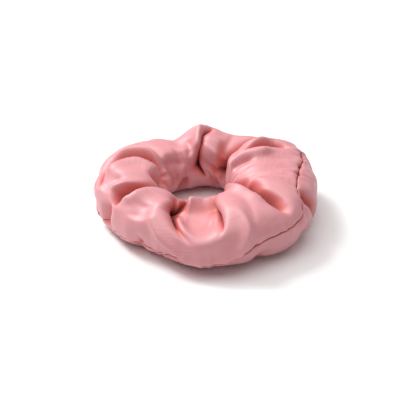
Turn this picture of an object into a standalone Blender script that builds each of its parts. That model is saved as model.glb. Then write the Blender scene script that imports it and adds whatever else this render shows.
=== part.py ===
"""Satin scrunchie: a gathered fabric tube sewn into a ring over a braided elastic loop.

Metres, +Z up. The ring lies flat on Z = 0 with its hole along Z. Angles are in degrees: a bearing
goes round the ring from +X towards +Y, and a section angle goes round the tube from its outer side
over its top.
"""

import math

import bmesh
import bpy
from mathutils import Matrix, Vector

# ---- Driving dimensions -------------------------------------------------------------------------
RING_RADIUS = 0.0362  # from the ring's centre to the middle of the gathered tube
TUBE_HALF_WIDTH = 0.0183  # of the gathered tube, across the ring
TUBE_HEIGHT = 0.0290  # of the gathered tube, lying down
RESTING_FLAT = 0.93  # how far down the section's lower half goes before it is flat on the table
CLOTH_WALL = 0.0010  # the satin and its small pleats together

SEAM_ANGLE = 15.0  # section angle of the long seam, just above the outer side
SEAM_ALLOWANCE = 0.0060  # cloth turned inwards at the long seam
SEAM_GAP = 0.0006  # between the two cloth edges that a seam brings together
CLOSING_BEARING = -10.0  # where the two ends of the tube meet
CLOSING_ALLOWANCE = 0.0050  # cloth turned inwards at the closing seam

ELASTIC_WIDTH = 0.0060
ELASTIC_THICKNESS = 0.0010
ELASTIC_LAP = 0.0120  # length of elastic that is doubled where its ends are sewn together
ELASTIC_LAP_BEARING = 20.0
ELASTIC_CLEARANCE = 0.0010  # between the elastic and the closing allowances inside the ring

THREAD_DIAMETER = 0.0003
STITCH_SETBACK = 0.0008  # of the stitches from the fold of the cloth, so that they clear its curve
CLEARANCE = 0.0003  # between pieces that lie against each other
ZIGZAG_WIDTH = 0.0040  # of the stitching that joins the elastic
ZIGZAG_LENGTH = 0.0080
ZIGZAG_STITCHES = 8

STRETCH_TRAVEL = 0.060  # how far the sewn side is pulled away from the opposite side

# The gathers that pinch the tube: bearing, half-width in degrees, and share of the section taken.
GATHERS = (
    (268.0, 15.0, 0.13),
    (212.0, 9.0, 0.11),
    (150.0, 8.0, 0.12),
    (117.0, 8.0, 0.06),
    (90.0, 7.0, 0.10),
    (58.0, 7.0, 0.13),
    (32.0, 7.0, 0.05),
    (342.0, 8.0, 0.10),
    (312.0, 10.0, 0.05),
)

SECTION_STEP = 15.0  # degrees between the points round the tube
RING_STEPS = 72  # stations round the ring
ENDS_CLEAR = 2  # stations that the long seam's threads stop short of the closing seam
THREAD_SIDES = 2  # bevel resolution of a thread

# ---- Dimensions that follow ---------------------------------------------------------------------
TUBE_HALF_HEIGHT = TUBE_HEIGHT / (1.0 + RESTING_FLAT)
TUBE_MIDDLE = TUBE_HALF_HEIGHT * RESTING_FLAT  # height of the section's centre
THREAD_RADIUS = THREAD_DIAMETER / 2.0
STITCH_DEPTH = CLOTH_WALL + CLEARANCE + THREAD_DIAMETER + STITCH_SETBACK  # in from the outside
DEEPEST_GATHER = max(depth for _, _, depth in GATHERS)
SLOPE_SHARE = 1.0 - 2.0 * DEEPEST_GATHER  # the gathers draw a thread in and slope the cloth by it
THREAD_OFFSET = (SEAM_GAP / 2.0 + CLOTH_WALL + CLEARANCE + THREAD_RADIUS) / SLOPE_SHARE
OUTER_RADIUS = RING_RADIUS + TUBE_HALF_WIDTH
# The closing allowances leave an oval opening, and the elastic lies in its inner end.
OPENING_HALF_WIDTH = TUBE_HALF_WIDTH - CLOSING_ALLOWANCE
OPENING_HALF_HEIGHT = TUBE_HALF_HEIGHT - CLOSING_ALLOWANCE
EDGE_HEIGHT = ELASTIC_WIDTH / 2.0 / OPENING_HALF_HEIGHT  # of the elastic's edges, as a share
OPENING_REACH = OPENING_HALF_WIDTH * math.sqrt(1.0 - EDGE_HEIGHT**2)
ELASTIC_RADIUS = RING_RADIUS - OPENING_REACH + ELASTIC_CLEARANCE + ELASTIC_THICKNESS / 2.0
ELASTIC_LAYER = ELASTIC_THICKNESS + CLEARANCE  # from one lapped layer to the next
SECTION_CENTRE = Vector((RING_RADIUS, 0.0, TUBE_MIDDLE))


def clear_scene():
    for thing in list(bpy.data.objects):
        bpy.data.objects.remove(thing, do_unlink=True)


def new_collection(name):
    collection = bpy.data.collections.new(name)
    bpy.context.scene.collection.children.link(collection)
    return collection


def material(name, colour, roughness, sheen=0.0):
    made = bpy.data.materials.new(name)
    made.use_nodes = True
    shader = made.node_tree.nodes["Principled BSDF"]
    shader.inputs["Base Color"].default_value = (*colour, 1.0)
    shader.inputs["Roughness"].default_value = roughness
    shader.inputs["Metallic"].default_value = 0.0
    shader.inputs["Sheen Weight"].default_value = sheen
    made.diffuse_color = (*colour, 1.0)
    return made


def place(name, data, collection, finish):
    thing = bpy.data.objects.new(name, data)
    thing.data.materials.append(finish)
    collection.objects.link(thing)
    return thing


def turn(bearing):
    return Matrix.Rotation(math.radians(bearing), 3, "Z")


def gathered(point):
    """A point of the plain ring moved to where the gathers pull it.

    They draw in the outer half of the tube and lower it, and leave the side that the elastic
    holds, and the flat underneath, where they are.
    """
    bearing = math.degrees(math.atan2(point.y, point.x))
    share = 1.0
    for middle, half_width, depth in GATHERS:
        away = (bearing - middle + 180.0) % 360.0 - 180.0
        share -= depth * math.exp(-((away / half_width) ** 2))
    radius = math.hypot(point.x, point.y)
    drawn = radius
    if radius > RING_RADIUS:
        drawn = RING_RADIUS + (radius - RING_RADIUS) * share
    return Vector((point.x * drawn / radius, point.y * drawn / radius, point.z * share))


def section_point(angle, depth=0.0):
    """A point of the plain section at +X, this far in from the outside of the cloth."""
    angle = math.radians(angle)
    across = (TUBE_HALF_WIDTH - depth) * math.cos(angle)
    up = (TUBE_HALF_HEIGHT - depth) * math.sin(angle)
    lowest = depth - TUBE_MIDDLE
    return SECTION_CENTRE + Vector((across, 0.0, max(up, lowest)))


def seam_frame():
    """The long seam's point on the section, its way straight inwards, and its way across."""
    seam = section_point(SEAM_ANGLE)
    angle = math.radians(SEAM_ANGLE)
    outwards = Vector((math.cos(angle) / TUBE_HALF_WIDTH, 0.0, math.sin(angle) / TUBE_HALF_HEIGHT))
    inwards = -outwards.normalized()
    across = Vector((inwards.z, 0.0, -inwards.x))
    return seam, inwards, across


def cover_profile():
    """The outside of the cloth from one long edge, right round the section, to the other."""
    seam, inwards, across = seam_frame()
    half_gap = across * SEAM_GAP / 2.0
    between = round(360.0 / SECTION_STEP) - 1
    round_tube = [section_point(SEAM_ANGLE + SECTION_STEP * (k + 1)) for k in range(between)]
    upper = [seam + inwards * SEAM_ALLOWANCE + half_gap, seam + half_gap]
    lower = [seam - half_gap, seam + inwards * SEAM_ALLOWANCE - half_gap]
    return upper + round_tube + lower


def swept_cover(profile, collection):
    """The plain cover: the profile carried round the ring by a Screw, open at the closing seam."""
    gap = math.degrees(SEAM_GAP / RING_RADIUS)
    start = turn(CLOSING_BEARING + gap / 2.0)
    mesh = bpy.data.meshes.new("cover_profile")
    edges = [(k, k + 1) for k in range(len(profile) - 1)]
    mesh.from_pydata([start @ point for point in profile], edges, [])
    guide = bpy.data.objects.new("cover_profile", mesh)
    guide.hide_render = True
    guide.display_type = "WIRE"
    collection.objects.link(guide)
    screw = guide.modifiers.new("round the ring", "SCREW")
    screw.axis = "Z"
    screw.angle = math.radians(360.0 - gap)
    screw.steps = RING_STEPS
    screw.render_steps = RING_STEPS
    screw.use_normal_calculate = False
    screw.use_normal_flip = True
    bpy.context.view_layer.update()
    evaluated = guide.evaluated_get(bpy.context.evaluated_depsgraph_get())
    return bpy.data.meshes.new_from_object(evaluated)


def add_closing_allowances(shape, points_across):
    """Turns both ends of the tube inwards, and trims the long allowances clear of them."""
    shape.verts.ensure_lookup_table()
    last = RING_STEPS * points_across
    first_end = shape.verts[0:points_across]
    last_end = shape.verts[last : last + points_across]
    tips = {first_end[0], first_end[-1], last_end[0], last_end[-1]}
    trimmed = [face for face in shape.faces if tips.intersection(face.verts)]
    cloth_edges = []
    for end in (first_end, last_end):
        across_tube = end[1:-1]
        for pair in zip(across_tube, across_tube[1:]):
            cloth_edges.append(shape.edges.get(pair))
    bmesh.ops.delete(shape, geom=trimmed, context="FACES")
    grown = bmesh.ops.extrude_edge_only(shape, edges=cloth_edges)["geom"]
    for vert in grown:
        if isinstance(vert, bmesh.types.BMVert):
            centre = Vector((vert.co.x, vert.co.y, 0.0)).normalized() * RING_RADIUS
            centre.z = TUBE_MIDDLE
            vert.co += (centre - vert.co).normalized() * CLOSING_ALLOWANCE


def make_cover(collection, guides, finish):
    profile = cover_profile()
    mesh = swept_cover(profile, guides)
    shape = bmesh.new()
    shape.from_mesh(mesh)
    add_closing_allowances(shape, len(profile))
    for vert in shape.verts:
        vert.co = gathered(vert.co)
    shape.to_mesh(mesh)
    shape.free()
    mesh.name = "satin_cover"
    cover = place("satin_cover", mesh, collection, finish)
    solidify = cover.modifiers.new("cloth", "SOLIDIFY")
    solidify.thickness = CLOTH_WALL
    solidify.offset = -1.0
    solidify.use_even_offset = True
    mesh.shade_smooth()
    mesh.set_sharp_from_angle(angle=math.radians(50.0))


def level_with_middle(bearing, radius):
    """The point at this bearing and radius that is level with the middle of the tube there."""
    return gathered(turn(bearing) @ Vector((radius, 0.0, TUBE_MIDDLE)))


def elastic_path():
    """The elastic's middle line: one turn, then a lap that steps out over its own beginning."""
    lap = math.degrees(ELASTIC_LAP / ELASTIC_RADIUS)
    first = ELASTIC_LAP_BEARING - lap / 2.0
    climb = lap  # the run before the lap over which the outer end climbs by one layer
    points = []
    for k in range(RING_STEPS + 1):
        bearing = first + (360.0 + lap) * k / RING_STEPS
        climbed = (bearing - (first + 360.0 - climb)) / climb
        climbed = min(max(climbed, 0.0), 1.0)
        radius = ELASTIC_RADIUS + ELASTIC_LAYER * climbed * climbed * (3.0 - 2.0 * climbed)
        points.append(level_with_middle(bearing, radius))
    return points


def make_elastic(collection, finish):
    shape = bmesh.new()
    low = Vector((0.0, 0.0, -ELASTIC_WIDTH / 2.0))
    line = [shape.verts.new(point + low) for point in elastic_path()]
    edges = [shape.edges.new(pair) for pair in zip(line, line[1:])]
    raised = bmesh.ops.extrude_edge_only(shape, edges=edges)["geom"]
    top = [item for item in raised if isinstance(item, bmesh.types.BMVert)]
    bmesh.ops.translate(shape, verts=top, vec=(0.0, 0.0, ELASTIC_WIDTH))
    mesh = bpy.data.meshes.new("elastic_band")
    shape.to_mesh(mesh)
    shape.free()
    band = place("elastic_band", mesh, collection, finish)
    solidify = band.modifiers.new("braid", "SOLIDIFY")
    solidify.thickness = ELASTIC_THICKNESS
    solidify.offset = 0.0
    mesh.shade_smooth()
    mesh.set_sharp_from_angle(angle=math.radians(50.0))


def make_thread(name, points, collection, finish):
    curve = bpy.data.curves.new(name, "CURVE")
    curve.dimensions = "3D"
    spline = curve.splines.new("POLY")
    spline.points.add(len(points) - 1)
    for slot, point in zip(spline.points, points):
        slot.co = (*point, 1.0)
    curve.bevel_depth = THREAD_RADIUS
    curve.bevel_resolution = THREAD_SIDES
    curve.use_fill_caps = True
    return place(name, curve, collection, finish)


def long_seam_line(side):
    """The thread beside one of the long allowances, from one end of the tube to the other."""
    seam, inwards, across = seam_frame()
    beside = seam + inwards * STITCH_DEPTH + across * THREAD_OFFSET * side
    gap = math.degrees(SEAM_GAP / RING_RADIUS)
    points = []
    for station in range(ENDS_CLEAR, RING_STEPS + 1 - ENDS_CLEAR):
        bearing = CLOSING_BEARING + gap / 2.0 + (360.0 - gap) * station / RING_STEPS
        points.append(gathered(turn(bearing) @ beside))
    return points


def closing_seam_line(side):
    """The thread beside one of the closing allowances, round the section just under the cloth."""
    points = []
    for step in range(1, round(360.0 / SECTION_STEP)):
        inside = section_point(SEAM_ANGLE + SECTION_STEP * step, STITCH_DEPTH)
        inside.y = THREAD_OFFSET * side
        points.append(gathered(turn(CLOSING_BEARING) @ inside))
    return points


def elastic_joint_line(radius):
    """A zigzag of stitches on one face of the lapped elastic."""
    points = []
    for k in range(ZIGZAG_STITCHES + 1):
        along = ZIGZAG_LENGTH * (k / ZIGZAG_STITCHES - 0.5)
        bearing = ELASTIC_LAP_BEARING + math.degrees(along / radius)
        side = ZIGZAG_WIDTH / 2.0 * (-1.0) ** k
        points.append(level_with_middle(bearing, radius) + Vector((0.0, 0.0, side)))
    return points


def make_threads(collection, sewing, elastic_sewing):
    off_face = ELASTIC_THICKNESS / 2.0 + CLEARANCE + THREAD_DIAMETER
    inner_face = ELASTIC_RADIUS - off_face
    outer_face = ELASTIC_RADIUS + ELASTIC_LAYER + off_face
    make_thread("long_seam_needle_thread", long_seam_line(1.0), collection, sewing)
    make_thread("long_seam_bobbin_thread", long_seam_line(-1.0), collection, sewing)
    return [
        make_thread("closing_seam_needle_thread", closing_seam_line(1.0), collection, sewing),
        make_thread("closing_seam_bobbin_thread", closing_seam_line(-1.0), collection, sewing),
        make_thread(
            "elastic_joint_needle_thread",
            elastic_joint_line(outer_face),
            collection,
            elastic_sewing,
        ),
        make_thread(
            "elastic_joint_bobbin_thread",
            elastic_joint_line(inner_face),
            collection,
            elastic_sewing,
        ),
    ]


def add_stretch_handle(collection, riders):
    """The empty on the stretch axis that the sewn side rides on, with its travel as a property."""
    handle = bpy.data.objects.new("stretch_axis", None)
    handle.empty_display_type = "SINGLE_ARROW"
    handle.empty_display_size = STRETCH_TRAVEL
    handle.location = (OUTER_RADIUS, 0.0, TUBE_MIDDLE)
    handle.rotation_euler = (0.0, math.radians(90.0), 0.0)
    handle["travel_m"] = STRETCH_TRAVEL
    collection.objects.link(handle)
    bpy.context.view_layer.update()
    for rider in riders:
        rider.parent = handle
        rider.matrix_parent_inverse = handle.matrix_world.inverted()


def main():
    clear_scene()
    parts = new_collection("scrunchie")
    guides = new_collection("scrunchie_guides")
    satin = material("rose satin", (0.75, 0.35, 0.37), 0.40, sheen=0.3)
    braid = material("white braided elastic", (0.86, 0.85, 0.82), 0.85)
    sewing = material("rose polyester thread", (0.62, 0.25, 0.27), 0.55)
    elastic_sewing = material("white polyester thread", (0.84, 0.84, 0.84), 0.55)
    make_cover(parts, guides, satin)
    make_elastic(parts, braid)
    riders = make_threads(parts, sewing, elastic_sewing)
    add_stretch_handle(parts, riders)


main()
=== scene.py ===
import math
from collections import namedtuple
from functools import cache

import bmesh
import bpy
import numpy as np
from bpy.props import FloatProperty, IntProperty, PointerProperty, StringProperty
from bpy.types import Operator, Panel, PropertyGroup
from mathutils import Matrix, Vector


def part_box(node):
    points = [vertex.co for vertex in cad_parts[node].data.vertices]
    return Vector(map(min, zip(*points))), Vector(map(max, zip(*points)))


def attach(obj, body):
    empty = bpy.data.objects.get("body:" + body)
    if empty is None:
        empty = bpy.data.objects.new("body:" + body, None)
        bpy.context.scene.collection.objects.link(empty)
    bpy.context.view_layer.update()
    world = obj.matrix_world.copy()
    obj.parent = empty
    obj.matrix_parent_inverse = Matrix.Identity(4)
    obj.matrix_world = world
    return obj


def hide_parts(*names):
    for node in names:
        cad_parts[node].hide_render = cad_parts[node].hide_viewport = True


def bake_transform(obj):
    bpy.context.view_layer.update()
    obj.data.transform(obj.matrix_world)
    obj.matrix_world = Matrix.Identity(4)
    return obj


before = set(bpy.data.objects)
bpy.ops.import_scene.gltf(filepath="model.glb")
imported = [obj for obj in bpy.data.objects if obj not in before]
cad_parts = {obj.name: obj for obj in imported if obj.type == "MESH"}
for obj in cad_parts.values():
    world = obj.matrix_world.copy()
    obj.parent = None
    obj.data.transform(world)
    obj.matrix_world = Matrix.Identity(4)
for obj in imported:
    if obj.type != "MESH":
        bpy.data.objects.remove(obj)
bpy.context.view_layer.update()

bl_info = {
    "name": "Satin Scrunchie",
    "version": (1, 0, 0),
    "blender": (4, 5, 0),
    "location": "View3D > Sidebar > Scrunchie",
    "description": "Builds a gathered satin scrunchie with its elastic and its sewing threads",
    "category": "Object",
}

MM = 0.001
ELASTIC_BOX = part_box("elastic_band")

# ---- The lie of the cloth ------------------------------------------------------------------------
# A place on the cover is a bearing and a section angle, both in degrees. The bearing goes round the
# ring from +X, the sewn side, towards +Y, the back. The section angle goes round the tube from its
# outer side (0) over its top (90), down the side towards the hole (180) and underneath (270).

# How far the gathered tube reaches from the ring's centre, in mm, at each bearing.
OUTER_REACH = (
    (0, 56.0), (20, 58.5), (36, 60.5), (55, 55.5), (75, 53.5), (92, 54.0), (108, 51.0),
    (125, 54.0), (145, 57.0), (156, 57.5), (168, 55.5), (180, 55.0), (198, 50.5), (215, 48.5),
    (235, 46.0), (250, 48.0), (265, 51.8), (285, 52.6), (305, 52.6), (325, 55.0), (342, 55.0),
)
# How far its inner side lies from the ring's centre.
INNER_REACH = (
    (0, 12.5), (30, 14.0), (48, 17.0), (65, 21.0), (90, 22.5), (125, 21.5), (160, 18.5),
    (190, 16.5), (225, 15.5), (250, 13.5), (268, 12.5), (285, 11.5), (315, 11.5), (340, 11.5),
)
# How high it stands.
TOP_HEIGHT = (
    (0, 29.0), (20, 30.0), (40, 31.5), (55, 29.5), (72, 27.5), (92, 32.5), (108, 29.5),
    (130, 28.5), (150, 29.5), (165, 28.5), (180, 28.5), (198, 26.0), (212, 26.0), (235, 25.5),
    (252, 27.0), (268, 26.5), (285, 28.0), (305, 28.0), (325, 28.0), (342, 29.0),
)
# The section angle of the long seam: on top at the sewn side, low outside everywhere else.
SEAM_LINE = (
    (7, 58.0), (15, 50.0), (27, 40.0), (45, 24.0), (70, 8.0), (100, -6.0), (140, -16.0),
    (180, -22.0), (220, -24.0), (260, -20.0), (285, -10.0), (303, 4.0), (318, 12.0), (328, 18.0),
    (333, 30.0), (338, 48.0), (344, 56.0), (354, 60.0),
)
CLOSING_BEARING = -10.0  # where the two ends of the strip meet

# A fold is a line on the cover, given by a few of its places. Along it the cloth sinks by depth mm,
# or stands up where depth is negative, over width mm to each side. Sharpness runs from 0, a soft
# hollow, to 1, a crease. Pinch draws the cloth beside the line over it, by so many mm. Steep says
# which side of the line is the steeper: 1 for the left of someone who walks the line on a map with
# bearings to the right and section angles upwards, -1 for the right, 0 for neither, and more than
# 1 for a sharper change. The fades are the shares of the line over which it begins and ends.
Fold = namedtuple("Fold", "line depth width sharpness pinch steep fade_in fade_out")
FOLDS = (
    # the upright crease at the back, with the tall lobe on its left
    Fold(((84, 62), (85, 95), (86, 130), (89, 150), (91, 180), (92, 205)),
         16.0, 2.8, 0.8, 3.8, 1, 0.35, 0.2),
    Fold(((114, 20), (113, 60), (114, 95), (118, 130)), 3.0, 6.0, 0.1, 0.0, 0, 0.2, 0.3),
    Fold(((92, 70), (94, 105), (98, 145)), -2.4, 2.8, 0.2, 0.0, 0, 0.3, 0.3),
    Fold(((79, 90), (78, 125), (81, 160)), -1.4, 2.4, 0.2, 0.0, 0, 0.3, 0.3),
    Fold(((84, 165), (76, 176), (67, 160)), 2.0, 2.4, 0.3, 0.0, 0, 0.3, 0.3),
    Fold(((80, 130), (74, 142), (69, 130)), -1.2, 2.4, 0.2, 0.0, 0, 0.3, 0.3),
    # the sharp crease at the back right, and the roll beside it
    Fold(((50, 60), (55, 95), (58, 122), (60, 142), (62, 164), (63, 185), (63, 205)),
         17.0, 2.8, 0.8, 4.2, 1, 0.25, 0.2),
    Fold(((41, 66), (46, 98), (50, 130), (53, 152), (56, 176)), -2.6, 2.1, 0.3, 0.0, 0, 0.2, 0.4),
    # the hollow under the right-hand lip
    Fold(((28, 60), (31, 80), (36, 102), (41, 122), (45, 140), (48, 158)),
         13.0, 3.4, 0.4, 2.6, 1, 0.2, 0.4),
    Fold(((23, 84), (29, 110), (36, 134), (43, 160)), -3.0, 1.9, 0.5, 0.0, 0, 0.2, 0.2),
    Fold(((22, 110), (30, 134), (37, 156)), 1.6, 1.6, 0.4, 0.0, 0, 0.3, 0.3),
    # the deep slanting fold on the right, between two broad lobes
    Fold(((6, 200), (354, 176), (337, 152), (324, 126), (316, 104), (315, 78), (319, 52), (324, 34)),
         18.0, 5.0, 0.4, 3.6, -1, 0.3, 0.2),
    Fold(((12, 186), (356, 160), (340, 132), (331, 108), (329, 82), (329, 56)),
         -2.0, 2.6, 0.2, 0.0, 0, 0.35, 0.2),
    Fold(((346, 190), (327, 160), (312, 134), (307, 108), (309, 82), (315, 58)),
         -3.8, 2.0, 0.5, 0.0, 0, 0.3, 0.2),
    # the open pocket at the front: a bowl with a rolled rim, and a tongue of cloth in it
    Fold(((244, 160), (235, 136), (231, 108), (234, 80), (241, 54), (253, 28), (268, 8)),
         11.5, 4.6, 0.5, 3.6, -1, 0.25, 0.5),
    Fold(((252, 130), (257, 104), (264, 74), (268, 44), (270, 14)), 8.5, 9.0, 0.0, 0.0, 0, 0.25, 0.45),
    Fold(((288, 146), (288, 122), (287, 98), (286, 74), (281, 46), (275, 20)),
         7.5, 4.4, 0.4, 3.4, 1, 0.25, 0.5),
    Fold(((266, 148), (266, 128), (268, 108), (270, 90)), -0.8, 6.5, 0.0, 0.0, 0, 0.3, 0.4),
    Fold(((278, 128), (275, 106), (273, 82), (270, 60)), 1.4, 2.0, 0.2, 0.0, 0, 0.3, 0.3),
    Fold(((247, 112), (250, 86), (257, 58), (266, 36)), 1.2, 2.0, 0.2, 0.0, 0, 0.3, 0.3),
    Fold(((225, 120), (226, 92), (230, 60), (238, 30), (250, 2), (268, -16), (286, -4), (293, 26),
          (294, 60), (296, 100)),
         -2.8, 2.6, 0.2, 0.0, 0, 0.2, 0.2),
    # the long valley on the left, with a roll on each side
    Fold(((228, 166), (218, 142), (212, 115), (209, 90), (207, 62), (204, 40), (201, 24)),
         17.0, 5.2, 0.5, 3.6, 1, 0.25, 0.2),
    Fold(((200, 156), (197, 125), (194, 92), (192, 62), (191, 40)), -2.6, 2.6, 0.3, 0.0, 0, 0.2, 0.2),
    Fold(((232, 144), (222, 112), (216, 86), (214, 60), (209, 36)), -3.8, 1.8, 0.6, 0.0, 0, 0.2, 0.2),
    Fold(((221, 75), (222, 50), (226, 25)), 1.8, 6.0, 0.0, 0.0, 0, 0.3, 0.3),
    Fold(((224, 96), (227, 64), (234, 34)), 1.0, 2.4, 0.0, 0.0, 0, 0.3, 0.3),
    # the doubled crease at the upper left
    Fold(((168, 195), (168, 160), (165, 135), (162, 112), (163, 90), (169, 68), (178, 46), (185, 24)),
         16.0, 4.6, 0.5, 3.6, 1, 0.3, 0.2),
    Fold(((156, 174), (154, 146), (148, 118), (146, 98), (151, 74), (160, 50)),
         -2.8, 2.8, 0.3, 0.0, 0, 0.2, 0.2),
    Fold(((178, 160), (174, 130), (169, 98), (174, 76), (183, 54)), -3.6, 1.6, 0.6, 0.0, 0, 0.2, 0.2),
    Fold(((186, 180), (184, 156), (180, 134), (174, 112)), 6.0, 3.2, 0.4, 1.2, 0, 0.35, 0.4),
    Fold(((187, 80), (186, 55), (189, 30)), 1.6, 3.4, 0.1, 0.0, 0, 0.3, 0.3),
    Fold(((132, 205), (134, 180), (133, 150), (128, 120)), 3.0, 4.5, 0.3, 0.0, 0, 0.2, 0.3),
    Fold(((146, 190), (148, 165), (144, 140)), -1.4, 2.4, 0.2, 0.0, 0, 0.3, 0.3),
    # fine creases that run out of the folds over the lobes
    Fold(((248, 75), (238, 62), (226, 58)), 0.9, 1.4, 0.3, 0.0, 0, 0.3, 0.5),
    Fold(((300, 120), (303, 95), (302, 65), (298, 35)), 0.9, 1.8, 0.3, 0.0, 0, 0.3, 0.5),
    Fold(((345, 140), (352, 115), (354, 90)), 0.9, 1.6, 0.3, 0.0, 0, 0.3, 0.5),
    Fold(((109, 150), (106, 120), (108, 90)), 1.8, 2.0, 0.4, 0.0, 0, 0.3, 0.5),
    Fold(((122, 170), (119, 135), (123, 100)), 2.2, 2.2, 0.4, 0.0, 0, 0.3, 0.5),
    Fold(((140, 130), (138, 95), (142, 60)), 1.8, 2.2, 0.4, 0.0, 0, 0.3, 0.5),
    Fold(((201, 140), (203, 115), (202, 85)), 1.0, 1.6, 0.3, 0.0, 0, 0.3, 0.5),
    Fold(((72, 150), (71, 120), (70, 85), (72, 50)), 1.2, 1.8, 0.3, 0.0, 0, 0.3, 0.4),
    # slack drawn towards the seam on the right
    Fold(((356, 66), (352, 90), (346, 112)), 0.9, 2.0, 0.3, 0.0, 0, 0.2, 0.5),
    Fold(((4, 64), (2, 90), (4, 115)), 0.8, 2.0, 0.3, 0.0, 0, 0.2, 0.5),
    Fold(((15, 58), (16, 80), (20, 96)), 0.8, 1.8, 0.3, 0.0, 0, 0.2, 0.5),
    # dips where the stitching draws the seam in
    Fold(((27, 40), (22, 44), (17, 49)), 2.8, 1.3, 0.5, 0.8, 0, 0.3, 0.3),
    Fold(((12, 53), (8, 57), (5, 58)), 2.8, 1.3, 0.5, 0.8, 0, 0.3, 0.3),
    Fold(((1, 59), (356, 60)), 2.4, 1.2, 0.5, 0.8, 0, 0.3, 0.3),
    # the gathers down the outer side, most of them at the back and the left
    Fold(((86, 70), (88, 35), (88, 0), (92, -35), (94, -75)), 5.0, 3.2, 0.5, 1.6, 1, 0.25, 0.3),
    Fold(((52, 80), (50, 45), (45, 12), (47, -30), (42, -70)), 6.0, 3.4, 0.5, 1.6, 1, 0.25, 0.3),
    Fold(((71, 60), (70, 30), (66, 0), (68, -35), (65, -75)), 3.6, 3.4, 0.5, 1.0, -1, 0.3, 0.3),
    Fold(((60, 10), (57, -25), (60, -60)), 2.6, 3.0, 0.4, 0.6, 0, 0.3, 0.4),
    Fold(((81, 10), (79, -25), (82, -65)), 2.2, 3.0, 0.4, 0.6, 0, 0.3, 0.4),
    Fold(((110, 45), (107, 5), (104, -35), (108, -75)), 5.0, 3.6, 0.5, 1.2, 1, 0.25, 0.3),
    Fold(((120, -5), (118, -35), (121, -70)), 2.8, 3.2, 0.4, 0.6, 0, 0.3, 0.4),
    Fold(((131, 75), (129, 35), (131, 0), (136, -35), (134, -75)), 5.0, 3.4, 0.5, 1.2, -1, 0.25, 0.3),
    Fold(((150, 45), (149, 10), (152, -30), (148, -70)), 3.8, 3.6, 0.4, 0.8, 1, 0.3, 0.3),
    Fold(((163, -5), (166, -35), (162, -70)), 2.6, 3.2, 0.4, 0.6, 0, 0.3, 0.4),
    Fold(((176, 30), (178, 5), (174, -30), (177, -70)), 4.2, 3.6, 0.4, 0.8, -1, 0.3, 0.3),
    Fold(((31, 30), (29, 0), (32, -35), (28, -75)), 4.0, 3.4, 0.5, 1.0, 1, 0.25, 0.3),
    Fold(((38, -5), (37, -30), (40, -65)), 2.4, 3.0, 0.4, 0.6, 0, 0.3, 0.4),
    Fold(((226, 8), (228, -18), (223, -50), (226, -75)), 2.6, 3.6, 0.3, 0.5, 0, 0.3, 0.3),
    Fold(((245, -25), (242, -50), (246, -75)), 2.0, 3.4, 0.3, 0.5, 0, 0.4, 0.4),
    Fold(((275, -30), (279, -55), (274, -78)), 2.0, 3.4, 0.3, 0.5, 0, 0.4, 0.4),
    Fold(((306, -5), (301, -30), (304, -65)), 2.4, 3.6, 0.3, 0.5, 0, 0.35, 0.3),
    # the gathers on the side of the hole and underneath
    Fold(((20, 180), (22, 205), (18, 240)), 3.5, 3.0, 0.4, 0.8, 0, 0.3, 0.3),
    Fold(((78, 185), (80, 210), (76, 240)), 3.5, 3.0, 0.4, 0.8, 0, 0.3, 0.3),
    Fold(((118, 180), (116, 205), (119, 240)), 3.5, 3.0, 0.4, 0.8, 0, 0.3, 0.3),
    Fold(((150, 185), (152, 210), (149, 240)), 3.0, 3.0, 0.4, 0.8, 0, 0.3, 0.3),
    Fold(((208, 180), (205, 210), (209, 240)), 3.5, 3.0, 0.4, 0.8, 0, 0.3, 0.3),
    Fold(((315, 185), (318, 210), (314, 240)), 3.0, 3.0, 0.4, 0.8, 0, 0.3, 0.3),
    # the two lobes outside the seam on the right, and the crease between them
    Fold(((340, 54), (343, 36), (346, 12), (348, -15), (344, -50), (347, -80)),
         6.5, 3.6, 0.4, 1.2, 1, 0.15, 0.35),
    Fold(((12, 44), (14, 26), (12, 0), (16, -35), (13, -75)), 3.6, 3.6, 0.3, 0.8, -1, 0.25, 0.35),
    Fold(((359, 40), (1, 10), (357, -25), (0, -60)), 2.2, 4.4, 0.3, 0.4, 0, 0.35, 0.35),
    Fold(((326, 0), (331, -25), (328, -60)), 3.2, 3.6, 0.3, 0.6, 0, 0.3, 0.35),
    # the notch in the left outline
    Fold(((198, -30), (198, 0), (201, 30)), 5.0, 4.0, 0.5, 0.0, 0, 0.2, 0.3),
)

# The corners of the tube's section are rounder the nearer these are to 1, fuller below it and
# hollower above it: over the top, low outside, and low towards the hole.
TOP_CORNERS = 0.94
LOW_OUTER_CORNER = 0.74
LOW_INNER_CORNER = 1.12
MIDDLE_RADIUS_MM = 36.2  # from the ring's centre to the middle of the tube
RING_MM_PER_DEGREE = 0.632  # along the middle of the tube
SECTION_MM_PER_DEGREE = 0.290  # round the tube
TABLE_GAP_MM = 0.3  # between the cloth and what it lies on
DEEPEST_FOLD_MM = 18.0  # past it, folds that cross add little
PUCKER_HEIGHT_MM = 0.35  # of the puckers beside the long seam
PUCKER_REACH_MM = 4.5
HOLE_SECTION = 195.0  # where the elastic gathers the cloth most
HOLE_GATHERS_REACH = 38.0  # degrees of section to each side of it


def wrapped(degrees):
    """Degrees brought to between -180 and 180."""
    return (degrees + 180.0) % 360.0 - 180.0


def eased(share):
    """A share from 0 to 1 that starts and stops gently."""
    share = np.clip(share, 0.0, 1.0)
    return share * share * (3.0 - 2.0 * share)


def smooth_curve(p0, p1, p2, p3, t):
    """The Catmull-Rom curve between p1 and p2."""
    return 0.5 * (
        2.0 * p1
        + (p2 - p0) * t
        + (2.0 * p0 - 5.0 * p1 + 4.0 * p2 - p3) * t**2
        + (3.0 * p1 - p0 - 3.0 * p2 + p3) * t**3
    )


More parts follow.
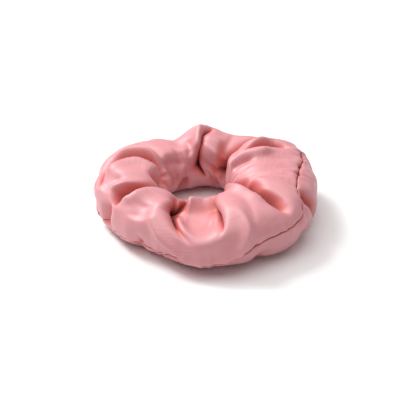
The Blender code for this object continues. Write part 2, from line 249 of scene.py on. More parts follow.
def round_the_ring(table, bearing):
    """A table of (bearing, value) read as one smooth closed curve."""
    places = np.array([row[0] for row in table], float)
    values = np.array([row[1] for row in table], float)
    places = np.concatenate([places - 360.0, places, places + 360.0])
    values = np.tile(values, 3)
    bearing = np.asarray(bearing, float) % 360.0
    k = np.searchsorted(places, bearing, side="right") - 1
    t = (bearing - places[k]) / (places[k + 1] - places[k])
    return smooth_curve(values[k - 1], values[k], values[k + 1], values[k + 2], t)


def smooth_line(points, pieces=6):
    """A fold's few points as a finer, curved line, with its bearings unwrapped."""
    line = [np.array(points[0], float)]
    for point in points[1:]:
        line.append(np.array([line[-1][0] + wrapped(point[0] - line[-1][0]), point[1]]))
    line = [line[0]] + line + [line[-1]]
    fine = []
    for k in range(1, len(line) - 2):
        for piece in range(pieces):
            fine.append(smooth_curve(*line[k - 1 : k + 3], piece / pieces))
    fine.append(line[-1])
    return np.array(fine)


def plain_point(bearing, section):
    """A point of the smooth tube, before its folds: rounded, and fuller where it rests outside."""
    outer = round_the_ring(OUTER_REACH, bearing)
    inner = round_the_ring(INNER_REACH, bearing)
    top = round_the_ring(TOP_HEIGHT, bearing)
    angle = np.radians(section)
    low_corners = np.where(np.cos(angle) < 0.0, LOW_INNER_CORNER, LOW_OUTER_CORNER)
    corners = np.where(np.sin(angle) < 0.0, low_corners, TOP_CORNERS)
    across = np.sign(np.cos(angle)) * np.abs(np.cos(angle)) ** corners
    up = np.sign(np.sin(angle)) * np.abs(np.sin(angle)) ** corners
    radius = (outer + inner) / 2.0 + (outer - inner) / 2.0 * across
    height = top / 2.0 * (1.0 + up)
    turn = np.radians(bearing)
    return np.stack([radius * np.cos(turn), radius * np.sin(turn), height], -1)


def unit(vectors):
    """Vectors made 1 long."""
    return vectors / np.maximum(np.linalg.norm(vectors, axis=-1, keepdims=True), 1e-9)


def fold_effect(fold, bearing, section, radius):
    """How one fold moves each point: inwards, along the ring and round the section, in mm."""
    line = smooth_line(fold.line)
    scale = np.array([RING_MM_PER_DEGREE, SECTION_MM_PER_DEGREE])
    steps = np.linalg.norm(np.diff(line, axis=0) * scale, axis=1)
    nearest = np.full(bearing.shape, np.inf)
    along = np.zeros(bearing.shape)
    beside = np.zeros(bearing.shape)
    above = np.zeros(bearing.shape)
    side = np.zeros(bearing.shape)
    walked = 0.0
    for start, end, step in zip(line, line[1:], steps):
        x = wrapped(bearing - start[0]) * scale[0]
        y = wrapped(section - start[1]) * scale[1]
        run, rise = (end - start) * scale
        share = np.clip((x * run + y * rise) / step**2, 0.0, 1.0)
        to_left = run * y - rise * x
        x = x - share * run
        y = y - share * rise
        distance = np.hypot(x, y)
        closer = distance < nearest
        nearest = np.where(closer, distance, nearest)
        along = np.where(closer, (walked + share * step) / steps.sum(), along)
        beside = np.where(closer, x, beside)
        above = np.where(closer, y, above)
        side = np.where(closer, to_left / step, side)
        walked += step
    beside = beside * radius / MIDDLE_RADIUS_MM
    distance = np.hypot(beside, above)
    # The fold narrows towards its ends and is narrower on its steeper side.
    fade = eased(along / fold.fade_in) * eased((1.0 - along) / fold.fade_out)
    steeper = np.tanh(side * fold.steep)
    reach = distance / (fold.width * (0.55 + 0.45 * fade) * (1.0 - 0.45 * steeper))
    # A deep hollow has a flatter floor than a shallow one. A crease comes to a slightly blunt edge.
    hollow = np.exp(-(reach ** (2.8 if fold.depth > 4.0 else 2.0)))
    crease = np.exp(0.14 - np.sqrt(2.2 * reach**2 + 0.02))
    sunk = fold.depth * fade * ((1.0 - fold.sharpness) * hollow + fold.sharpness * crease)
    lean = 1.2 * fold.pinch * fade * reach * np.exp(-0.5 * reach**2)
    if fold.steep:
        lean = lean * (1.0 + steeper)
    distance = np.maximum(distance, 1e-6)
    return sunk, -lean * beside / distance, -lean * above / distance


def seam_puckers(bearing, section):
    """How far the long seam's stitching gathers the cloth outwards beside it, in mm."""
    away = np.abs(wrapped(section - round_the_ring(SEAM_LINE, bearing))) * SECTION_MM_PER_DEGREE
    b = np.radians(bearing)
    wave = np.sin(53.0 * b + 1.3 * np.sin(16.0 * b)) + 0.5 * np.sin(94.0 * b + 0.7)
    return PUCKER_HEIGHT_MM * wave * np.exp(-((away / PUCKER_REACH_MM) ** 2))


def slackness(bearing, section):
    """Slow waves all over, and the elastic's fine gathers round the hole, in mm outwards."""
    b = np.radians(bearing)
    s = np.radians(section)
    wave = np.sin(11.0 * b + 3.0 * s + 0.4) * np.sin(4.0 * s - 5.0 * b)
    ripple = np.sin(23.0 * b - 2.0 * s + 1.1) * np.sin(3.0 * s + 7.0 * b + 0.5)
    gathers = np.sin(41.0 * b + 1.6 * np.sin(9.0 * b) + 2.0 * s)
    near_hole = np.exp(-((wrapped(section - HOLE_SECTION) / HOLE_GATHERS_REACH) ** 2))
    return 0.3 * wave + 0.2 * ripple + 0.25 * gathers * near_hole


def cloth_point(bearing, section, depth=0.0):
    """Where the cloth lies, in metres, with every fold in it; depth is in mm, into the tube."""
    bearing, section, depth = np.broadcast_arrays(
        np.asarray(bearing, float), np.asarray(section, float), np.asarray(depth, float)
    )
    plain = plain_point(bearing, section)
    along = unit(plain_point(bearing + 0.5, section) - plain_point(bearing - 0.5, section))
    around = unit(plain_point(bearing, section + 0.5) - plain_point(bearing, section - 0.5))
    outwards = unit(np.cross(along, around))
    radius = np.hypot(plain[..., 0], plain[..., 1])
    sunk = np.zeros(bearing.shape)
    moved = plain.copy()
    for fold in FOLDS:
        inwards, sideways, round_tube = fold_effect(fold, bearing, section, radius)
        sunk += inwards
        moved += along * sideways[..., None] + around * round_tube[..., None]
    sunk = np.where(sunk > 0.0, DEEPEST_FOLD_MM * np.tanh(sunk / DEEPEST_FOLD_MM), sunk)
    raised = seam_puckers(bearing, section) + slackness(bearing, section) - depth - sunk
    moved += outwards * raised[..., None]
    moved[..., 2] = np.maximum(moved[..., 2], TABLE_GAP_MM)
    return moved * MM


# ---- Materials -----------------------------------------------------------------------------------


def linear(hex_colour):
    """An sRGB hex colour as linear red, green, blue and alpha."""
    parts = [int(hex_colour[k : k + 2], 16) / 255.0 for k in (1, 3, 5)]
    return tuple(p / 12.92 if p <= 0.04045 else ((p + 0.055) / 1.055) ** 2.4 for p in parts) + (1.0,)


def add_node(material, kind, inputs=None, links=None, **settings):
    """Adds a node with its settings, its unlinked input values and its incoming links."""
    node = material.node_tree.nodes.new(kind)
    for name, value in settings.items():
        setattr(node, name, value)
    for name, value in (inputs or {}).items():
        node.inputs[name].default_value = value
    for name, socket in (links or {}).items():
        material.node_tree.links.new(socket, node.inputs[name])
    return node


def new_material(name):
    material = bpy.data.materials.new(name)
    material.use_nodes = True
    return material, material.node_tree.nodes["Principled BSDF"]


def polyester_satin(colour, shade, painted_fold_shade, painted_crease_shade):
    """Polyester satin, woven with long floats: smooth, with a broad soft shine along the warp, and
    painted shade deep in its folds.
    """
    material, shader = new_material("polyester satin")
    strip = add_node(material, "ShaderNodeUVMap", uv_map="strip").outputs["UV"]
    # Warp floats are 0.1 mm wide. They are drawn 0.5 mm wide, the finest that shows.
    floats = add_node(
        material, "ShaderNodeMapping", {"Scale": (90.0, 2000.0, 1.0)}, {"Vector": strip}
    ).outputs["Vector"]
    threads = add_node(
        material, "ShaderNodeTexNoise", {"Scale": 1.0, "Detail": 2.0}, {"Vector": floats}
    )
    place = add_node(material, "ShaderNodeTexCoord").outputs["Object"]
    cloudy = add_node(
        material, "ShaderNodeTexNoise", {"Scale": 45.0, "Detail": 3.0}, {"Vector": place}
    )
    mixed = add_node(
        material,
        "ShaderNodeMath",
        links={0: threads.outputs["Fac"], 1: cloudy.outputs["Fac"]},
        operation="ADD",
    )
    tint = add_node(material, "ShaderNodeValToRGB", links={"Fac": mixed.outputs[0]})
    tint.color_ramp.elements[0].position = 0.70
    tint.color_ramp.elements[0].color = linear(shade)
    tint.color_ramp.elements[1].position = 1.25
    tint.color_ramp.elements[1].color = linear(colour)
    # Painted shade: an ambient-occlusion mask darkens and warms the colour deep in a fold, where the
    # only light comes off more satin, down to a dark red where a fold closes.
    openness = add_node(
        material, "ShaderNodeAmbientOcclusion", {"Distance": 0.014}, samples=16, only_local=True
    ).outputs["AO"]
    folds = add_node(material, "ShaderNodeValToRGB", links={"Fac": openness})
    folds.color_ramp.elements[0].position = 0.12
    folds.color_ramp.elements[0].color = linear(painted_crease_shade)
    folds.color_ramp.elements[1].position = 0.95
    folds.color_ramp.elements[1].color = linear("#FFFFFF")
    folds.color_ramp.elements.new(0.6).color = linear(painted_fold_shade)
    folded = add_node(
        material, "ShaderNodeMix", {"Factor": 1.0}, data_type="RGBA", blend_type="MULTIPLY"
    )
    gloss = add_node(
        material,
        "ShaderNodeMapRange",
        {"From Min": 0.3, "From Max": 0.7, "To Min": 0.44, "To Max": 0.54},
        {"Value": threads.outputs["Fac"]},
    )
    bump = add_node(
        material,
        "ShaderNodeBump",
        {"Strength": 0.25, "Distance": 0.00006},
        {"Height": threads.outputs["Fac"]},
    )
    link = material.node_tree.links.new
    link(tint.outputs["Color"], folded.inputs[6])
    link(folds.outputs["Color"], folded.inputs[7])
    link(folded.outputs[2], shader.inputs["Base Color"])
    link(gloss.outputs["Result"], shader.inputs["Roughness"])
    link(bump.outputs["Normal"], shader.inputs["Normal"])
    shader.inputs["IOR"].default_value = 1.55
    shader.inputs["Specular IOR Level"].default_value = 0.55
    shader.inputs["Sheen Weight"].default_value = 0.12
    shader.inputs["Sheen Roughness"].default_value = 0.4
    return material


def spun_polyester(name, colour, shade):
    """Spun polyester thread, two plies twisted together: matt, with a fine slant of light and dark."""
    material, shader = new_material(name)
    place = add_node(material, "ShaderNodeTexCoord").outputs["Object"]
    plies = add_node(
        material,
        "ShaderNodeTexWave",
        {"Scale": 900.0, "Distortion": 1.5, "Detail": 1.0},
        {"Vector": place},
        bands_direction="DIAGONAL",
    )
    tint = add_node(material, "ShaderNodeValToRGB", links={"Fac": plies.outputs["Fac"]})
    tint.color_ramp.elements[0].color = linear(shade)
    tint.color_ramp.elements[1].color = linear(colour)
    bump = add_node(
        material,
        "ShaderNodeBump",
        {"Strength": 0.4, "Distance": 0.00005},
        {"Height": plies.outputs["Fac"]},
    )
    link = material.node_tree.links.new
    link(tint.outputs["Color"], shader.inputs["Base Color"])
    link(bump.outputs["Normal"], shader.inputs["Normal"])
    shader.inputs["Roughness"].default_value = 0.7
    return material


def thread_material(name, colour, shade):
    """The thread's material, made the first time that a piece asks for it."""
    return bpy.data.materials.get(name) or spun_polyester(name, colour, shade)


def braided_elastic(colour, shade):
    """Flat braided elastic, yarns over rubber strands: matt, with ribs along it and a fine chevron."""
    material, shader = new_material("braided elastic")
    strip = add_node(material, "ShaderNodeUVMap", uv_map="strip").outputs["UV"]
    # Yarns cross the band every 0.8 mm, and the rubber strands lie 0.75 mm apart.
    yarns = add_node(
        material,
        "ShaderNodeTexWave",
        {"Scale": 400.0, "Distortion": 0.4},
        {"Vector": strip},
        bands_direction="DIAGONAL",
    )
    strands = add_node(
        material,
        "ShaderNodeTexWave",
        {"Scale": 420.0, "Distortion": 0.2},
        {"Vector": strip},
        bands_direction="Y",
    )
    braid = add_node(
        material,
        "ShaderNodeMath",
        links={0: yarns.outputs["Fac"], 1: strands.outputs["Fac"]},
        operation="MULTIPLY",
    )
    tint = add_node(material, "ShaderNodeValToRGB", links={"Fac": braid.outputs[0]})
    tint.color_ramp.elements[0].color = linear(shade)
    tint.color_ramp.elements[1].color = linear(colour)
    bump = add_node(
        material,
        "ShaderNodeBump",
        {"Strength": 0.6, "Distance": 0.0002},
        {"Height": braid.outputs[0]},
    )
    link = material.node_tree.links.new
    link(tint.outputs["Color"], shader.inputs["Base Color"])
    link(bump.outputs["Normal"], shader.inputs["Normal"])
    shader.inputs["Roughness"].default_value = 0.85
    return material


def matt_board(colour, shade):
    """Matt painted board under the object: pale and even, with the faintest mottle."""
    material, shader = new_material("matt painted board")
    place = add_node(material, "ShaderNodeTexCoord").outputs["Object"]
    mottle = add_node(material, "ShaderNodeTexNoise", {"Scale": 30.0, "Detail": 2.0}, {"Vector": place})
    tint = add_node(material, "ShaderNodeValToRGB", links={"Fac": mottle.outputs["Fac"]})
    tint.color_ramp.elements[0].color = linear(shade)
    tint.color_ramp.elements[1].color = linear(colour)
    material.node_tree.links.new(tint.outputs["Color"], shader.inputs["Base Color"])
    shader.inputs["Roughness"].default_value = 0.9
    return material


# ---- Making pieces -------------------------------------------------------------------------------


def finished(name, shape, material):
    """A bmesh as a smooth object at the origin."""
    mesh = bpy.data.meshes.new(name)
    shape.to_mesh(mesh)
    shape.free()
    mesh.materials.append(material)
    mesh.shade_smooth()
    piece = bpy.data.objects.new(name, mesh)
    bpy.context.scene.collection.objects.link(piece)
    return piece


def give_wall(piece, thickness, offset):
    """Gives a sheet its thickness: offset is -1 for all of it behind the sheet, 0 for half."""
    wall = piece.modifiers.new("wall", "SOLIDIFY")
    wall.thickness = thickness
    wall.offset = offset
    bpy.context.view_layer.update()
    depsgraph = bpy.context.evaluated_depsgraph_get()
    walled = bpy.data.meshes.new_from_object(piece.evaluated_get(depsgraph))
    piece.modifiers.clear()
    piece.data = walled
    piece.data.name = piece.name


def settle_across_joint(piece, node):
    """The piece stands for a CAD node that stretches from one body to the other: that node is hidden,
    and the piece, on no body, keeps its place in its mesh.
    """
    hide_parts(node)
    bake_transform(piece)


def settle_on_sewn_side(piece, node):
    """The piece stands for a CAD node that is whole on the sewn side."""
    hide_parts(node)
    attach(piece, "sewn_side")


def flat_strip(columns, rows):
    """A flat strip of square faces, and each vertex's column and row number."""
    shape = bmesh.new()
    bmesh.ops.create_grid(shape, x_segments=columns, y_segments=rows, size=1.0)
    flat = np.array([vert.co for vert in shape.verts])
    column = np.rint((flat[:, 0] + 1.0) / 2.0 * columns).astype(int)
    row = np.rint((flat[:, 1] + 1.0) / 2.0 * rows).astype(int)
    return shape, column, row


def mark_strip(shape, along, across):
    """Keeps each vertex's place on the flat strip, in metres, as the UV map of the material."""
    layer = shape.loops.layers.uv.new("strip")
    shape.verts.index_update()
    for face in shape.faces:
        for loop in face.loops:
            k = loop.vert.index
            loop[layer].uv = (along[k], across[k])


def move_to(shape, points):
    """Moves each vertex to its point."""
    for vert, point in zip(shape.verts, points):
        vert.co = point


def tube_along(points, diameter, beside=(0.0, 0.0, 1.0), sides=6):
    """A closed tube along a line of points: a flat strip rolled round it, with its ends filled.

    Beside is a direction that the line never runs in.
    """
    points = np.asarray(points, float)
    ahead = unit(np.gradient(points, axis=0))
    across = unit(np.cross(ahead, beside))
    above = np.cross(across, ahead)
    shape, column, row = flat_strip(len(points) - 1, sides)
    angle = (2.0 * math.pi * row / sides)[:, None]
    round_it = across[column] * np.cos(angle) + above[column] * np.sin(angle)
    move_to(shape, points[column] + round_it * diameter / 2.0)
    bmesh.ops.remove_doubles(shape, verts=shape.verts[:], dist=1e-7)
    bmesh.ops.holes_fill(shape, edges=[edge for edge in shape.edges if edge.is_boundary])
    bmesh.ops.recalc_face_normals(shape, faces=shape.faces[:])
    return shape


# ---- Sizes and colours ---------------------------------------------------------------------------


class ClothSettings(PropertyGroup):
    colour: StringProperty(name="Satin", description="Colour of the satin", default="#D28D92")
    shade: StringProperty(name="Satin shade", description="Satin's darker threads", default="#C88086")
    # The fold and crease colours are painted shade, multiplied into the satin's colour where the cloth
    # is enclosed.
    painted_fold_shade: StringProperty(
        name="Painted fold shade", description="Of light from satin to satin in a fold", default="#FFBDAE"
    )
    painted_crease_shade: StringProperty(
        name="Painted crease shade", description="Where a fold closes", default="#82302C"
    )
    thickness: FloatProperty(
        name="Thickness", description="Of one layer of satin", default=0.0003, unit="LENGTH"
    )
    seam_gap: FloatProperty(
        name="Seam gap",
        description="Between the edges that the long seam joins",
        default=0.0001,
        unit="LENGTH",
    )
    allowance: FloatProperty(
        name="Seam allowance",
        description="Cloth turned in at the long seam",
        default=0.006,
        unit="LENGTH",
    )
    columns: IntProperty(name="Columns", description="Faces along the strip", default=376)
    rows: IntProperty(name="Rows", description="Faces across the strip, between its seams", default=106)


class ElasticSettings(PropertyGroup):
    colour: StringProperty(name="Elastic", description="Colour of the yarn", default="#F2EFEA")
    shade: StringProperty(
        name="Elastic shade", description="Colour between the yarns", default="#C9C3BA"
    )
    thickness: FloatProperty(
        name="Thickness", description="Of the elastic", default=0.001, unit="LENGTH"
    )
    lap: FloatProperty(
        name="Lap",
        description="Length over which the ends lie on each other",
        default=0.012,
        unit="LENGTH",
    )
    strands: IntProperty(name="Strands", description="Rubber strands side by side", default=8)


class ThreadSettings(PropertyGroup):
    colour: StringProperty(
        name="Seam thread", description="Colour of the seam's thread", default="#D98C92"
    )
    shade: StringProperty(name="Seam thread shade", description="Between its plies", default="#B96A70")
    elastic_colour: StringProperty(
        name="Elastic's thread", description="Colour of the thread in the elastic", default="#F4F2EE"
    )
    elastic_shade: StringProperty(
        name="Elastic's thread shade", description="Between its plies", default="#CFCBC4"
    )
    diameter: FloatProperty(
        name="Diameter", description="Of all the threads", default=0.0003, unit="LENGTH"
    )
    stitch: FloatProperty(
        name="Stitch", description="Length of a stitch", default=0.0025, unit="LENGTH"
    )


class StageSettings(PropertyGroup):
    board: StringProperty(name="Board", description="Colour of the board", default="#F7F6F6")
    board_shade: StringProperty(name="Board shade", description="Of its mottle", default="#F4F3F3")
    camera_height: FloatProperty(
        name="Camera height",
        description="Angle above the table",
        default=math.radians(30.0),
        subtype="ANGLE",
    )
    camera_distance: FloatProperty(
        name="Camera distance", description="From the object's middle", default=0.6, unit="LENGTH"
    )


# ---- The pieces ----------------------------------------------------------------------------------

STRIP_LENGTH = 0.342
CLOSING_GROOVE_MM = 0.1  # where the ends of the strip meet
# The cloth beside the long seam: mm along the cloth from the seam, and the share of the allowance
# that has turned into the tube there.
SEAM_TURN = (
    (0.0, 1.0), (0.0, 0.75), (0.0, 0.5), (0.0, 0.25),
    (0.05, 0.12), (0.25, 0.045), (0.7, 0.012), (1.5, 0.0),
)


def cover_rows(cloth):
    """Each row of the strip as mm round the tube from the seam and mm of depth into the tube."""
    girth = 360.0 * SECTION_MM_PER_DEGREE
    gap = cloth.seam_gap / MM / 2.0
    allowance = cloth.allowance / MM
    turn = [(gap + away, depth * allowance) for away, depth in SEAM_TURN]
    first = turn[-1][0]
    body = [(place, 0.0) for place in np.linspace(first, girth - first, cloth.rows + 1)]
    back = [(girth - place, depth) for place, depth in reversed(turn)]
    return np.array(turn[:-1] + body + back[1:])


def make_satin_cover(context):
    """One strip of satin, rolled and sewn into a tube, closed into a ring and gathered."""
    cloth = context.scene.scrunchie_cloth
    lines = cover_rows(cloth)
    shape, column, row = flat_strip(cloth.columns, len(lines) - 1)
    bearing = CLOSING_BEARING + 360.0 * column / cloth.columns
    place = lines[row, 0]
    depth = lines[row, 1]
    section = round_the_ring(SEAM_LINE, bearing) + place / SECTION_MM_PER_DEGREE
    at_closing_seam = (column == 0) | (column == cloth.columns)
    depth = depth + np.where(at_closing_seam, CLOSING_GROOVE_MM, 0.0)
    mark_strip(shape, column / cloth.columns * STRIP_LENGTH, (place - depth) * MM)
    move_to(shape, cloth_point(bearing, section, depth))
    bmesh.ops.remove_doubles(shape, verts=shape.verts[:], dist=1e-7)
    bmesh.ops.smooth_vert(
        shape, verts=shape.verts[:], factor=0.5, use_axis_x=True, use_axis_y=True, use_axis_z=True
    )
    # The satin's colour carries painted shade in its folds and creases.
    satin = polyester_satin(cloth.colour, cloth.shade, cloth.painted_fold_shade, cloth.painted_crease_shade)
    piece = finished("satin_cover_cloth", shape, satin)
    give_wall(piece, cloth.thickness, -1.0)
    settle_across_joint(piece, "satin_cover")


ELASTIC_LEVEL = 0.0085  # height of the elastic's middle
ELASTIC_WIDTH = 0.006
ELASTIC_LENGTH = 0.17
ELASTIC_COLUMNS = 240
ELASTIC_ROWS_PER_STRAND = 4
RIB_HEIGHT = 0.00012
LAP_BEARING = 20.0
LAP_GAP = 0.0003  # between the lapped ends
LAP_RADIUS = 0.025  # of the ring of elastic, about, where its ends lap


@cache
def elastic_radius(thickness):
    """How far from the ring's centre the elastic lies at each degree, clear of the folds inside."""
    low, high = ELASTIC_BOX
    drawn_in = (high[0] - low[0]) / 2.0 - 1.5 * thickness
    bearing, section = np.meshgrid(np.arange(360.0), np.arange(120.0, 246.0, 6.0), indexing="ij")
    inside = cloth_point(bearing, section)
    level = np.abs(inside[..., 2] - ELASTIC_LEVEL) < ELASTIC_WIDTH
    folded = np.where(level, np.hypot(inside[..., 0], inside[..., 1]), 0.0).max(axis=1)
    clear = np.maximum(drawn_in, folded + 2.0 * thickness)
    around = np.stack([np.roll(clear, shift) for shift in range(-10, 11)])
    widest = around.max(axis=0)
    return np.mean([np.roll(widest, shift) for shift in range(-10, 11)], axis=0)


def elastic_line(elastic, bearing, out=0.0):
    """The middle of the elastic, which lies in the inner half of the tube."""
    radius = elastic_radius(elastic.thickness)
    radius = np.interp(bearing % 360.0, np.arange(361.0), np.append(radius, radius[0])) + out
    turn = np.radians(bearing)
    height = np.full(np.shape(bearing), ELASTIC_LEVEL)
    return np.stack([radius * np.cos(turn), radius * np.sin(turn), height], -1)


def make_elastic_band(context):
    """Flat braided elastic, its two ends lapped."""
    elastic = context.scene.scrunchie_elastic
    rows = ELASTIC_ROWS_PER_STRAND * elastic.strands
    shape, column, row = flat_strip(ELASTIC_COLUMNS, rows)
    lap = math.degrees(elastic.lap / LAP_RADIUS)
    share = column / ELASTIC_COLUMNS
    bearing = LAP_BEARING - lap / 2.0 + (360.0 + lap) * share
    climbed = eased((bearing - (LAP_BEARING + 360.0 - 1.5 * lap)) / lap)
    across = row / rows
    rib = np.abs(np.sin(math.pi * elastic.strands * across)) * RIB_HEIGHT
    line = elastic_line(elastic, bearing, climbed * (elastic.thickness + LAP_GAP) + rib)
    line[:, 2] += (across - 0.5) * ELASTIC_WIDTH
    mark_strip(shape, share * ELASTIC_LENGTH, across * ELASTIC_WIDTH)
    move_to(shape, line)
    piece = finished("elastic_band_braid", shape, braided_elastic(elastic.colour, elastic.shade))
    give_wall(piece, elastic.thickness, 0.0)
    settle_across_joint(piece, "elastic_band")


STITCH_POINTS = 6  # along each stitch of the long seam
STITCH_DEPTH_MM = 0.7  # of its stitches, in from the outside of the cloth
STITCH_CLEARANCE = 0.00005


def make_long_seam_threads(context):
    """The needle thread and the bobbin thread, one on each side of the long seam."""
    threads = context.scene.scrunchie_threads
    cloth = context.scene.scrunchie_cloth
    rose = thread_material("spun polyester thread", threads.colour, threads.shade)
    stitches = round(STRIP_LENGTH / threads.stitch)
    steps = np.arange(STITCH_POINTS * stitches + 1)
    share = 0.01 + 0.98 * steps / steps[-1]
    bearing = CLOSING_BEARING + 360.0 * share
    beside = cloth.seam_gap / 2.0 + cloth.thickness + threads.diameter * 0.6 + STITCH_CLEARANCE
    reach = beside / MM * (1.0 - 0.9 * (steps % STITCH_POINTS == 0))
    for name, side in (("needle", 1.0), ("bobbin", -1.0)):
        section = round_the_ring(SEAM_LINE, bearing) + side * reach / SECTION_MM_PER_DEGREE
        line = cloth_point(bearing, section, STITCH_DEPTH_MM)
        node = f"long_seam_{name}_thread"
        piece = finished(f"{node}_stitches", tube_along(line, threads.diameter), rose)
        settle_across_joint(piece, node)


CLOSING_STITCHES = 40
CLOSING_STITCH_POINTS = 5  # along each of them
CLOSING_DEPTH_MM = 1.4  # of the closing seam's threads, in from the outside of the cloth
CLOSING_CLEAR_OF_SEAM = 8.0  # degrees of section that they keep from the long seam
ZIGZAGS = 4
ZIGZAG_POINTS = 12  # along each zigzag
ZIGZAG_ARC = 18.0  # degrees of bearing
ZIGZAG_HALF_WIDTH = 0.002
NEEDLE_OUT = 0.00215  # from the middle of the inner layer of the lap, past the outer layer
BOBBIN_OUT = -0.00085  # towards the hole


def make_closing_seam_threads(threads):
    """Two threads round the tube, one on each side of the seam that closes the ring."""
    rose = thread_material("spun polyester thread", threads.colour, threads.shade)
    steps = np.arange(CLOSING_STITCH_POINTS * CLOSING_STITCHES + 1)
    share = steps / steps[-1]
    around = CLOSING_CLEAR_OF_SEAM + (360.0 - 2.0 * CLOSING_CLEAR_OF_SEAM) * share
    section = around + round_the_ring(SEAM_LINE, CLOSING_BEARING)
    sway = 0.6 + 0.2 * (steps % CLOSING_STITCH_POINTS > 0)
    turn = math.radians(CLOSING_BEARING)
    along_ring = (-math.sin(turn), math.cos(turn), 0.0)
    for name, side in (("needle", 1.0), ("bobbin", -1.0)):
        line = cloth_point(CLOSING_BEARING + side * sway, section, CLOSING_DEPTH_MM)
        node = f"closing_seam_{name}_thread"
        piece = finished(f"{node}_stitches", tube_along(line, threads.diameter, along_ring), rose)
        settle_on_sewn_side(piece, node)


def make_elastic_joint_threads(threads, elastic):
    """The zigzag through the elastic's lapped ends, a thread on each face."""
    white = thread_material(
        "white spun polyester thread", threads.elastic_colour, threads.elastic_shade
    )
    steps = np.arange(ZIGZAGS * ZIGZAG_POINTS + 1)
    bearing = LAP_BEARING + (steps / steps[-1] - 0.5) * ZIGZAG_ARC
    swing = 2.0 * np.abs(2.0 * ((steps / ZIGZAG_POINTS) % 1.0) - 1.0) - 1.0
    for name, out in (("needle", NEEDLE_OUT), ("bobbin", BOBBIN_OUT)):
        line = elastic_line(elastic, bearing, out)
        line[:, 2] += ZIGZAG_HALF_WIDTH * swing
        node = f"elastic_joint_{name}_thread"
        piece = finished(f"{node}_zigzag", tube_along(line, threads.diameter), white)
        settle_on_sewn_side(piece, node)


LIT_POINT = (0.0, 0.0, 0.01)  # where the lights point
AIM = (0.0015, 0.0, 0.014)  # the middle of the object, about
AIM_BELOW = 0.0059  # how far beneath it the camera points
LENS = 105.7


def add_soft_box(name, location, size, power):
    """A square area light that points at the object."""
    light = bpy.data.lights.new(name, "AREA")
    light.size = size
    light.energy = power
    lamp = bpy.data.objects.new(name, light)
    lamp.location = location
    towards = Vector(LIT_POINT) - lamp.location
    lamp.rotation_euler = towards.to_track_quat("-Z", "Y").to_euler()
    bpy.context.scene.collection.objects.link(lamp)


def make_stage(context):
    """The pale board, the soft studio light and the camera."""
    stage = context.scene.scrunchie_stage
    shape = bmesh.new()
    bmesh.ops.create_grid(shape, x_segments=1, y_segments=1, size=2.0)
    board = finished("board", shape, matt_board(stage.board, stage.board_shade))
    world = bpy.data.worlds.new("white studio")
    world.use_nodes = True
    world.node_tree.nodes["Background"].inputs["Color"].default_value = (1.0, 1.0, 1.0, 1.0)
    world.node_tree.nodes["Background"].inputs["Strength"].default_value = 0.3
    context.scene.world = world
    add_soft_box("overhead light", (-0.12, 0.0, 1.0), 1.3, 9.0)
    add_soft_box("key light", (-0.45, 0.35, 0.62), 0.35, 6.2)
    tilt = stage.camera_height
    backwards = Vector((0.0, -math.cos(tilt), math.sin(tilt)))
    upwards = Vector((0.0, math.sin(tilt), math.cos(tilt)))
    aim = Vector(AIM) - upwards * AIM_BELOW
    camera = bpy.data.cameras.new("camera")
    camera.lens = LENS
    stand = bpy.data.objects.new("camera", camera)
    stand.location = aim + backwards * stage.camera_distance
    stand.rotation_euler = (-backwards).to_track_quat("-Z", "Y").to_euler()
    context.scene.collection.objects.link(stand)
    context.scene.camera = stand
    context.scene.view_settings.view_transform = "Standard"


# ---- Operators and panel -------------------------------------------------------------------------


class SCRUNCHIE_OT_satin_cover(Operator):
    """Makes the gathered satin cover"""

    bl_idname = "scrunchie.satin_cover"
    bl_label = "Satin Cover"

    def execute(self, context):
        make_satin_cover(context)
        return {"FINISHED"}


class SCRUNCHIE_OT_elastic_band(Operator):
    """Makes the flat braided elastic inside the cover"""

    bl_idname = "scrunchie.elastic_band"
    bl_label = "Elastic Band"

    def execute(self, context):
        make_elastic_band(context)
        return {"FINISHED"}


class SCRUNCHIE_OT_long_seam_threads(Operator):
    """Makes the two threads of the long seam"""

    bl_idname = "scrunchie.long_seam_threads"
    bl_label = "Long Seam Threads"

    def execute(self, context):
        make_long_seam_threads(context)
        return {"FINISHED"}


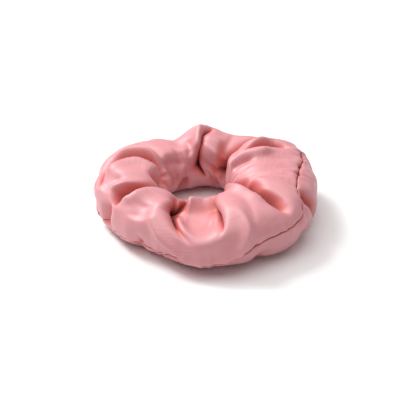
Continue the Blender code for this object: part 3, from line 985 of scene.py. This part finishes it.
class SCRUNCHIE_OT_hidden_threads(Operator):
    """Makes the threads of the closing seam and of the elastic's joint"""

    bl_idname = "scrunchie.hidden_threads"
    bl_label = "Hidden Threads"

    def execute(self, context):
        make_closing_seam_threads(context.scene.scrunchie_threads)
        make_elastic_joint_threads(context.scene.scrunchie_threads, context.scene.scrunchie_elastic)
        return {"FINISHED"}


class SCRUNCHIE_OT_stage(Operator):
    """Makes the board, the lights and the camera"""

    bl_idname = "scrunchie.stage"
    bl_label = "Stage"

    def execute(self, context):
        make_stage(context)
        return {"FINISHED"}


OPERATORS = (
    SCRUNCHIE_OT_satin_cover,
    SCRUNCHIE_OT_elastic_band,
    SCRUNCHIE_OT_long_seam_threads,
    SCRUNCHIE_OT_hidden_threads,
    SCRUNCHIE_OT_stage,
)
SETTINGS = {
    "scrunchie_cloth": ClothSettings,
    "scrunchie_elastic": ElasticSettings,
    "scrunchie_threads": ThreadSettings,
    "scrunchie_stage": StageSettings,
}


class SCRUNCHIE_PT_panel(Panel):
    """Lists the scrunchie's sizes and colours, and the steps that make it"""

    bl_idname = "SCRUNCHIE_PT_panel"
    bl_label = "Satin Scrunchie"
    bl_space_type = "VIEW_3D"
    bl_region_type = "UI"
    bl_category = "Scrunchie"

    def draw(self, context):
        for name, group in SETTINGS.items():
            for setting in group.__annotations__:
                self.layout.prop(getattr(context.scene, name), setting)
        for operator in OPERATORS:
            self.layout.operator(operator.bl_idname)


CLASSES = (*SETTINGS.values(), *OPERATORS, SCRUNCHIE_PT_panel)


def register():
    for item in CLASSES:
        bpy.utils.register_class(item)
    for name, group in SETTINGS.items():
        setattr(bpy.types.Scene, name, PointerProperty(type=group))


def unregister():
    for name in SETTINGS:
        delattr(bpy.types.Scene, name)
    for item in reversed(CLASSES):
        bpy.utils.unregister_class(item)


def main():
    register()
    bpy.ops.scrunchie.satin_cover()
    bpy.ops.scrunchie.elastic_band()
    bpy.ops.scrunchie.long_seam_threads()
    bpy.ops.scrunchie.hidden_threads()
    bpy.ops.scrunchie.stage()


if __name__ == "__main__":
    main()
